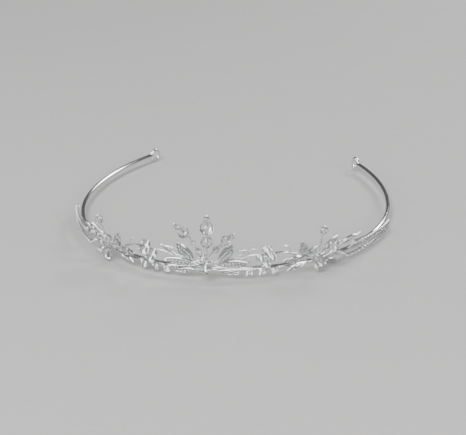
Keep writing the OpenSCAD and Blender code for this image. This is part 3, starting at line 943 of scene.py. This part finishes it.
class TIARA_OT_stones(bpy.types.Operator):
    """Makes the cut stones of leaves, claws and cups"""

    bl_idname = "tiara.stones"
    bl_label = "Stones"

    def execute(self, context):
        pave = small_stone(PAVE_R, PAVE_CROWN * PAVE_R, PAVILION * PAVE_R)
        groups = {
            "centre_leaf_stones": [("centre_", CENTRE)],
            "side_leaf_stones": [
                ("side_upper", SIDE), ("side_lower", SIDE), ("side_long", SIDE),
                ("side_spray", SPRAY),
            ],
        }
        for node, members in groups.items():
            places = [
                at @ m for stem, at in members for name in LEAVES if name.startswith(stem)
                for m in pave_places(LEAVES[name], CURLS.get(name, 0))
            ]
            stone_piece(both_sides(set_on(places, pave)), node)
        claws = Shape()
        for u, v, w, r, seat in CENTRE_STONES:
            claws.take(big_stone(CENTRE @ lay(u, v, w), r, seat))
        u, v, w, r, seat = SIDE_STONE
        claws.take(both_sides(big_stone(SIDE @ lay(u, v, w), r, seat)))
        stone_piece(claws, "claw_stones")
        petals = Shape()
        for u, v in PETALS:
            petals.take(big_stone(QUATREFOIL @ lay(u, v, PETAL_W), PETAL_R, PETAL_SEAT))
        stone_piece(both_sides(petals), "quatrefoil_stones")
        drops = Shape()
        for s in DROPS:
            drops.take(big_stone(drop_place(s), DROP_R, DROP_SEAT))
        stone_piece(both_sides(drops), "garland_stones")
        rows = [m @ Matrix.Translation((0, 0, ROW_LIFT)) for m in row_cups()]
        row = small_stone(ROW_STONE_R, ROW_CROWN * ROW_STONE_R, ROW_PAVILION * ROW_STONE_R)
        stone_piece(both_sides(set_on(rows, row)), "row_stones")
        return {"FINISHED"}


# ---- Claw settings --------------------------------------------------------------


CLAWS = 4


def claw_setting(r, seat):
    """Cup with a turned foot, a gallery groove and claws bent over the stone."""
    shape = Shape()
    top = seat - 0.1
    wide = r + 0.16
    shape.lathe(
        [
            (0.4 * r, 0.0), (0.47 * r, 0.1), (0.5 * r + 0.03, 0.22), (0.56 * r, 0.45 * top),
            (0.74 * r, 0.6 * top), (0.72 * r + 0.06, 0.68 * top), (wide - 0.04, top - 0.16),
            (wide + 0.02, top - 0.06), (wide - 0.04, top), (r - 0.02, top), (r - 0.06, top - 0.06),
            (0.12 * r, seat - (PAVILION + 0.02) * r),
        ],
        24,
    )
    thick = bpy.context.scene.tiara_metal.claw_radius
    for i in range(CLAWS):
        a = 45 + 360 * i / CLAWS
        path = [
            (0.62 * r, 0.42 * top), (r + 0.12, 0.72 * top), (r + 0.22, seat - 0.05),
            (r + 0.16, seat + 0.16 * r), (r - 0.04, seat + 0.3 * r), (r - 0.22, seat + 0.36 * r),
        ]
        points = smooth_path([polar(x, a, z) for x, z in path], 3)
        last = len(points) - 1
        radii = [thick * (0.75 + 0.35 * k / last) for k in range(last + 1)]
        shape.tube(points, radii, 8)
    return shape


class TIARA_OT_claw_settings(bpy.types.Operator):
    """Makes the cups and claws of the large stones"""

    bl_idname = "tiara.claw_settings"
    bl_label = "Claw settings"

    def execute(self, context):
        shape = Shape()
        for u, v, w, r, seat in CENTRE_STONES:
            shape.take(claw_setting(r, seat), CENTRE @ lay(u, v, w))
        side = Shape()
        u, v, w, r, seat = SIDE_STONE
        side.take(claw_setting(r, seat), SIDE @ lay(u, v, w))
        shape.take(both_sides(side))
        metal_piece(shape, "claw_settings")
        return {"FINISHED"}


# ---- Hub ------------------------------------------------------------------------


# Place, radius, thickness and scallops of each disc of the centre flower
CENTRE_DISCS = [(0, 3.6, 2.9, 1, 12), (-1.3, 8.3, 1, 1, 0), (0, 0.5, 0.9, 0.9, 0)]
# The side flowers' disc, as height, radius, thickness and scallops
SIDE_DISC = (2.8, 2.4, 1, 10)
SCALLOP_DEPTH, DISC_SIDES = 0.04, 48
# The plate behind the hub: half length, and how far from its middle its corners round off
PLATE_HALF, PLATE_ROUND = 6.5, 6.2


def disc(shape, at, r, t, scallops):
    """Disc with rounded edges, its rim cut in scallops if any are asked for."""
    profile = [
        (0.04, 0), (0.86, 0), (0.97, 0.12), (1.0, 0.5), (0.96, 0.88), (0.84, 1), (0.5, 1),
        (0.04, 1),
    ]
    depth = SCALLOP_DEPTH if scallops else 0
    rings = []
    for share, z in profile:
        ring = []
        for k in range(DISC_SIDES):
            wave = 1 + depth * share * math.cos(scallops * 2 * math.pi * k / DISC_SIDES)
            ring.append(polar(r * share * wave * 0.97, 360 * k / DISC_SIDES, z * t))
        rings.append(ring)
    shape.rings(rings, at)


class TIARA_OT_hub(bpy.types.Operator):
    """Makes the disc and plate behind the centre flower"""

    bl_idname = "tiara.hub"
    bl_label = "Hub"

    def execute(self, context):
        shape = Shape()
        for u, v, r, t, scallops in CENTRE_DISCS:
            disc(shape, CENTRE @ lay(u, v, 0), r, t, scallops)
        shape.tube([(0, -0.5, 3.6), (-1.3, -0.5, 8.3)], 0.42, 12, CENTRE)
        # Flat straight plate across the front of the headband, with rounded edges
        half = [(-0.8, 0.28), (-0.95, 0.12), (-0.95, -0.16), (-0.8, -0.32)]
        section = half + [(-z, y) for z, y in reversed(half)]
        rings = []
        for k in range(25):
            s = PLATE_HALF * (k / 12 - 1)
            pinch = 1 if abs(s) < PLATE_ROUND else 0.8
            middle = Vector((s, BAND_FRONT - WIRE_R + 0.02, BAND_Z))
            rings.append([middle + Vector((0, -y, z * pinch)) for z, y in section])
        shape.rings(rings)
        metal_piece(shape, "centre_hub")
        return {"FINISHED"}


# ---- Open leaves and thin wires --------------------------------------------------

OPEN_LEAF = (4.6, 5, 28, 14.4, 1.7, 1.7)
OPEN_WIRE_R = 0.34
RAIL_R, TWIG_R = 0.39, 0.33


class TIARA_OT_open_leaves(bpy.types.Operator):
    """Makes the open leaves of bent wire"""

    bl_idname = "tiara.open_leaves"
    bl_label = "Open leaves"

    def execute(self, context):
        u, v, a, chord, upper, lower = OPEN_LEAF
        at = CENTRE @ lay(u, v, -0.3, a)
        steps = 28
        xs = [chord * k / steps for k in range(steps + 1)]
        paths = [
            [at @ Vector((x, edge(chord, upper, x), 0)) for x in xs],
            [at @ Vector((x, -edge(chord, lower, x), 0)) for x in xs],
        ]
        shape = wires(paths, OPEN_WIRE_R * 0.97)
        shape.ball((chord, 0, 0), 0.46, at)
        shape.ball((0, 0, 0), 0.47, at)
        shape.tube([(0, 0, 0), (-1.4, 0, 0.35), (-2.8, 0, 0.9)], OPEN_WIRE_R, at=at)
        pair(shape, "centre_wire_leaf")
        return {"FINISHED"}


class TIARA_OT_rails(bpy.types.Operator):
    """Makes the thin wires and twigs between the flowers"""

    bl_idname = "tiara.rails"
    bl_label = "Rails"

    def execute(self, context):
        inner = [near_band(14.2, 6.2, 2.6), near_band(17.5, 7.4, 2.8), near_band(20.6, 7.9, 3)]
        outer = [near_band(27.3, 7.9, 3), near_band(32, 7.6, 2.9), near_band(37.5, 5.6, 2.7)]
        twigs = [
            [(inner[0] + inner[1]) / 2, near_band(18.4, 10.2, 3.4), near_band(20, 10.6, 3.5)],
            [(outer[1] + outer[2]) / 2, near_band(33.4, 10, 3.4), near_band(31.8, 10.8, 3.5)],
        ]
        shape = Shape()
        for path in (inner, outer):
            shape.tube(smooth_path(path), RAIL_R)
        for path in twigs:
            line = smooth_path(path)
            last = len(line) - 1
            shape.tube(line, [TWIG_R + (RAIL_R - TWIG_R) * k / last for k in range(last + 1)])
        pair(shape, "upper_rail")
        return {"FINISHED"}


# ---- Stalks and threaded crystals ------------------------------------------------

STALK_W = 0.55
CENTRE_ROOT, CENTRE_TIP = Vector((0.2, -STALK_W, 4)), Vector((1.9, -STALK_W, 29.8))
LEFT_ROOT = Vector((-0.8, -STALK_W, 5.2))
LEFT_BEND, LEFT_TIP = Vector((-6.3, -STALK_W, 18)), Vector((-12.2, -STALK_W, 24.65))
RIGHT_ROOT = Vector((1.2, -STALK_W, 5.2))
RIGHT_BEND, RIGHT_TIP = Vector((1.8, -STALK_W, 9)), Vector((12.7, -STALK_W, 20.9))
SIDE_ROOT, SIDE_TIP = Vector((0, -1, 3.8)), Vector((0, -1.2, 20.6))
KNOB_R = 0.62
# Node: from, to, distance, radius, half length (0 for a round bead)
THREADED = {
    "centre_lower_crystal": (CENTRE_ROOT, CENTRE_TIP, 11.8, 2.6, 2.6),
    "centre_upper_crystal": (CENTRE_ROOT, CENTRE_TIP, 19.35, 3.1, 2.6),
    "centre_top_bead": (CENTRE_ROOT, CENTRE_TIP, 23.7, 1.6, 0),
    "left_base_crystal": (LEFT_ROOT, LEFT_BEND, 5.6, 1.5, 1.5),
    "left_spacer_bead": (LEFT_ROOT, LEFT_BEND, 10.6, 1.05, 0),
    "left_crystal": (LEFT_BEND, LEFT_TIP, 3.3, 2.55, 2.3),
    "left_end_bead": (LEFT_BEND, LEFT_TIP, 7.05, 1.35, 0),
    "right_base_crystal": (RIGHT_BEND, RIGHT_TIP, 3.9, 1.45, 1.6),
    "right_spacer_bead": (RIGHT_BEND, RIGHT_TIP, 7.2, 1, 0),
    "right_crystal": (RIGHT_BEND, RIGHT_TIP, 10.9, 2.3, 2.1),
    "right_end_bead": (RIGHT_BEND, RIGHT_TIP, 14.5, 1.3, 0),
}
SIDE_BEAD_AT, SIDE_BEAD_R = 14.6, 1.8
# Tip, distance, radius and half length of each crystal in a side flower's fan
SIDE_FAN = [
    (Vector((-5, -4.6, 13.4)), 8.2, 2.2, 2),
    (Vector((2.6, -4.4, 13.2)), 7.4, 2, 1.9),
    (Vector((7.6, -4, 12.8)), 9.4, 1.7, 1.6),
    (Vector((-1.4, -5.2, 9.2)), 4.4, 1.4, 1.3),
]


def fan_root(tip):
    return Vector((0.22 * tip.x, -0.6, 3.2))


def thread(p, q, t):
    """Place at the distance t along a wire, with +Z along it."""
    d = (q - p).normalized()
    return Matrix.Translation(p + t * d) @ d.to_track_quat("Z", "Y").to_matrix().to_4x4()


def threaded(r, half, n):
    """Drilled crystal whose rings of facets are turned by half a facet each."""
    hole = STALK_R + PLAY
    if half:
        rings = [
            (hole + 0.36, -half), (0.78 * r, -0.62 * half), (r, -0.15 * half), (r, 0.15 * half),
            (0.78 * r, 0.62 * half), (hole + 0.36, half),
        ]
    else:
        end = math.sqrt(r * r - (hole + 0.12) ** 2)
        rings = [(hole + 0.12, -end)]
        rings += [(r * math.cos(a), r * math.sin(a)) for a in (-0.72, -0.24, 0.24, 0.72)]
        rings += [(hole + 0.12, end)]
    turns = [0, 0.5, 0, 0, 0.5, 0]
    step = 360 / n
    points = [
        polar(x, step * (k + turned), z) for (x, z), turned in zip(rings, turns) for k in range(n)
    ]
    faces = []
    for i in range(len(rings) - 1):
        a, b = i * n, (i + 1) * n
        shift = turns[i + 1] - turns[i]
        for k in range(n):
            m = (k + 1) % n
            if shift > 0:
                faces += [(a + k, a + m, b + k), (a + m, b + m, b + k)]
            elif shift < 0:
                faces += [(a + k, b + m, b + k), (a + k, a + m, b + m)]
            else:
                faces += [(a + k, a + m, b + m, b + k)]
    # Drilled hole
    count = len(points)
    low, high = rings[0][1], rings[-1][1]
    points += [polar(hole, step * k, low) for k in range(n)]
    points += [polar(hole, step * k, high) for k in range(n)]
    top = (len(rings) - 1) * n
    for k in range(n):
        m = (k + 1) % n
        faces += [
            (m, k, count + k, count + m),
            (count + k, count + n + k, count + n + m, count + m),
            (top + k, top + m, count + n + m, count + n + k),
        ]
    shape = Shape()
    shape.add(points, faces, smooth=False)
    return shape


class TIARA_OT_crystals(bpy.types.Operator):
    """Makes the threaded crystals and beads"""

    bl_idname = "tiara.crystals"
    bl_label = "Crystals"

    def execute(self, context):
        n = context.scene.tiara_stones.facets
        for node, (p, q, t, r, half) in THREADED.items():
            shape = Shape()
            shape.take(threaded(r, half, n), CENTRE @ thread(p, q, t))
            body = frame["nodes"][node]["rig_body"]
            finish(shape, node + "_cut", [node], ["glass"], body, sharp=1)
        for side, mirrored in (("right", False), ("left", True)):
            node = "side_top_bead_" + side
            shape = Shape()
            at = SIDE @ thread(SIDE_ROOT, SIDE_TIP, SIDE_BEAD_AT)
            shape.take(threaded(SIDE_BEAD_R, 0, n), at)
            finish(shape, node + "_cut", [node], ["glass"], node, mirrored, 1)
            fan = Shape()
            for tip, t, r, half in SIDE_FAN:
                fan.take(threaded(r, half, n), SIDE @ thread(fan_root(tip), tip, t))
            node = "side_crystals_" + side
            finish(fan, node + "_cut", [node], ["glass"], "tiara", mirrored, 1)
        return {"FINISHED"}


class TIARA_OT_stalks(bpy.types.Operator):
    """Makes the stalk wires and the hubs of the side flowers"""

    bl_idname = "tiara.stalks"
    bl_label = "Stalks"

    def execute(self, context):
        for node, path in {
            "centre_stalk": [CENTRE_ROOT, CENTRE_TIP],
            "left_stalk": [LEFT_ROOT, LEFT_BEND, LEFT_TIP],
            "right_stalk": [RIGHT_ROOT, RIGHT_BEND, RIGHT_TIP],
        }.items():
            shape = wires([[CENTRE @ p for p in path]], STALK_R)
            shape.ball(path[-1], KNOB_R, CENTRE)
            for p in path[1:-1]:
                shape.ball(p, STALK_R * 1.02, CENTRE)
            metal_piece(shape, node)
        paths = [[SIDE @ SIDE_ROOT, SIDE @ SIDE_TIP]]
        paths += [[SIDE @ fan_root(f[0]), SIDE @ f[0]] for f in SIDE_FAN]
        shape = wires(paths, STALK_R)
        v, r, t, scallops = SIDE_DISC
        disc(shape, SIDE @ lay(0, v, 0), r, t, scallops)
        for tip in [SIDE_TIP] + [f[0] for f in SIDE_FAN]:
            shape.ball(tip, KNOB_R, SIDE)
        pair(shape, "side_stalks")
        return {"FINISHED"}


# ---- Four-stone flowers and garlands ---------------------------------------------

PETALS = [(0, 12.2), (-2.4, 8.2), (2.4, 8.2), (0, 4.2)]
PETAL_R, PETAL_SEAT, PETAL_W = 2, 1.7, 0.55
POST_R = 0.44
DROP_R, DROP_SEAT, DROP_UP, DROP_PITCH = 1.45, 1.3, -1.1, 5.4
DROPS = [QUATREFOIL_S - 1.1 + i * DROP_PITCH for i in (-1, 0, 1)]
ARCH_R, ARCH_WIRE_R = 1.3, 0.3
DROP_OUT = WIRE_R - 0.3


def drop_place(s):
    return at_band(s, DROP_UP, DROP_OUT) @ UPRIGHT


class TIARA_OT_quatrefoils(bpy.types.Operator):
    """Makes the settings of the four-stone flowers"""

    bl_idname = "tiara.quatrefoils"
    bl_label = "Four-stone flowers"

    def execute(self, context):
        shape = Shape()
        for u, v in PETALS:
            at = QUATREFOIL @ lay(u, v, PETAL_W)
            shape.take(claw_setting(PETAL_R, PETAL_SEAT), at)
        for ends in ([(0, -0.3, 0), (0, -0.3, 12.2)], [(-2.4, -0.3, 8.2), (2.4, -0.3, 8.2)]):
            shape.tube(ends, POST_R, 12, QUATREFOIL)
        shape.ball((0, -1.5, 8.2), 0.5, QUATREFOIL)
        pair(shape, "quatrefoil_settings")
        return {"FINISHED"}


class TIARA_OT_garlands(bpy.types.Operator):
    """Makes the scalloped wire and cups below the four-stone flowers"""

    bl_idname = "tiara.garlands"
    bl_label = "Garlands"

    def execute(self, context):
        paths = []
        for i in range(4):
            s = DROPS[0] + (i - 0.5) * DROP_PITCH
            at = at_band(s, DROP_UP + 0.5, DROP_OUT + 0.7) @ UPRIGHT
            paths.append([at @ polar(ARCH_R, 180 * k / 16) for k in range(17)])
        shape = wires(paths, ARCH_WIRE_R)
        for s in DROPS:
            shape.take(claw_setting(DROP_R, DROP_SEAT), drop_place(s))
        pair(shape, "garland")
        return {"FINISHED"}


# ---- Tapered rows of stones -------------------------------------------------------

ROW_STONE_R, ROW_PITCH, ROW_END = 1, 2.3, 98
# Height of a row stone's foot in its cup
ROW_LIFT = 0.1
ROW_OUT = WIRE_R + 1
# Short wires that tie the rows to the headband
ROW_WIRE_R = 0.34
# First stone's distance and height, and the last stone's height
UPPER_ROW = (SIDE_S + 19.6, 3.3, 1.08)
LOWER_ROW = (SIDE_S + 16.2, -1.5, -1.08)


def row_height(row, s):
    return row[2] + (row[1] - row[2]) * (ROW_END - s) / (ROW_END - row[0])


def row_distances(row):
    count = int((ROW_END - row[0]) / ROW_PITCH + 1e-6)
    return [ROW_END - ROW_PITCH * k for k in range(count + 1)]


def row_cups():
    """Places of the cups of both rows on the right."""
    return [
        at_band(s, row_height(row, s), ROW_OUT) @ UPRIGHT
        for row in (UPPER_ROW, LOWER_ROW) for s in row_distances(row)
    ]


def row_cup():
    """Pressed cup with four short claws."""
    shape = Shape()
    r = ROW_STONE_R
    shape.lathe(
        [
            (0.5 * r, 0), (r + 0.08, 0.08), (r + 0.17, 0.3), (r + 0.16, 0.66), (r + 0.03, 0.72),
            (r - 0.03, 0.6), (0.1, 0.08),
        ],
        14,
    )
    for i in range(CLAWS):
        a = 45 + 360 * i / CLAWS
        path = [(r + 0.12, 0.4), (r + 0.1, 0.86), (r - 0.12, 1.06)]
        shape.tube([polar(x, a, z) for x, z in path], [0.2, 0.2, 0.17], 6)
    return shape


class TIARA_OT_stone_rows(bpy.types.Operator):
    """Makes the cups of the tapered rows"""

    bl_idname = "tiara.stone_rows"
    bl_label = "Stone rows"

    def execute(self, context):
        shape = set_on(row_cups(), row_cup())
        for row in (UPPER_ROW, LOWER_ROW):
            first = row_distances(row)[-1]
            near = first - ROW_STONE_R - 0.1
            start = near_band(near, row_height(row, first), ROW_OUT + 0.4)
            shape.tube([start, near_band(near - 1.6, 0, 0.6)], ROW_WIRE_R)
        far = ROW_END + ROW_STONE_R + 0.1
        link = [near_band(far, UPPER_ROW[2], ROW_OUT + 0.4), near_band(far + 1.8, 0, 0.6)]
        shape.tube(link, ROW_WIRE_R)
        pair(shape, "stone_row")
        return {"FINISHED"}


# ---- Panel and registration --------------------------------------------------------

OPERATORS = (
    TIARA_OT_materials,
    TIARA_OT_stage,
    TIARA_OT_headband,
    TIARA_OT_end_loops,
    TIARA_OT_hub,
    TIARA_OT_leaves,
    TIARA_OT_open_leaves,
    TIARA_OT_stones,
    TIARA_OT_claw_settings,
    TIARA_OT_stalks,
    TIARA_OT_crystals,
    TIARA_OT_quatrefoils,
    TIARA_OT_garlands,
    TIARA_OT_rails,
    TIARA_OT_stone_rows,
)
GROUPS = {"tiara_metal": TiaraMetal, "tiara_stones": TiaraStones, "tiara_stage": TiaraStage}


class TIARA_PT_panel(bpy.types.Panel):
    """Lists the tiara's pieces and sizes"""

    bl_idname = "TIARA_PT_panel"
    bl_label = "Tiara"
    bl_space_type = "VIEW_3D"
    bl_region_type = "UI"
    bl_category = "Tiara"

    def draw(self, context):
        for group in GROUPS:
            box = self.layout.box()
            for name in getattr(context.scene, group).bl_rna.properties.keys():
                if name not in ("rna_type", "name"):
                    box.prop(getattr(context.scene, group), name)
        for operator in OPERATORS:
            self.layout.operator(operator.bl_idname)


def register():
    for group in GROUPS.values():
        bpy.utils.register_class(group)
    for name, group in GROUPS.items():
        setattr(bpy.types.Scene, name, PointerProperty(type=group))
    for thing in (*OPERATORS, TIARA_PT_panel):
        bpy.utils.register_class(thing)


def unregister():
    for thing in (TIARA_PT_panel, *reversed(OPERATORS)):
        bpy.utils.unregister_class(thing)
    for name, group in GROUPS.items():
        delattr(bpy.types.Scene, name)
        bpy.utils.unregister_class(group)


def main():
    register()
    for operator in OPERATORS:
        group, name = operator.bl_idname.split(".")
        getattr(getattr(bpy.ops, group), name)()


if __name__ == "__main__":
    main()
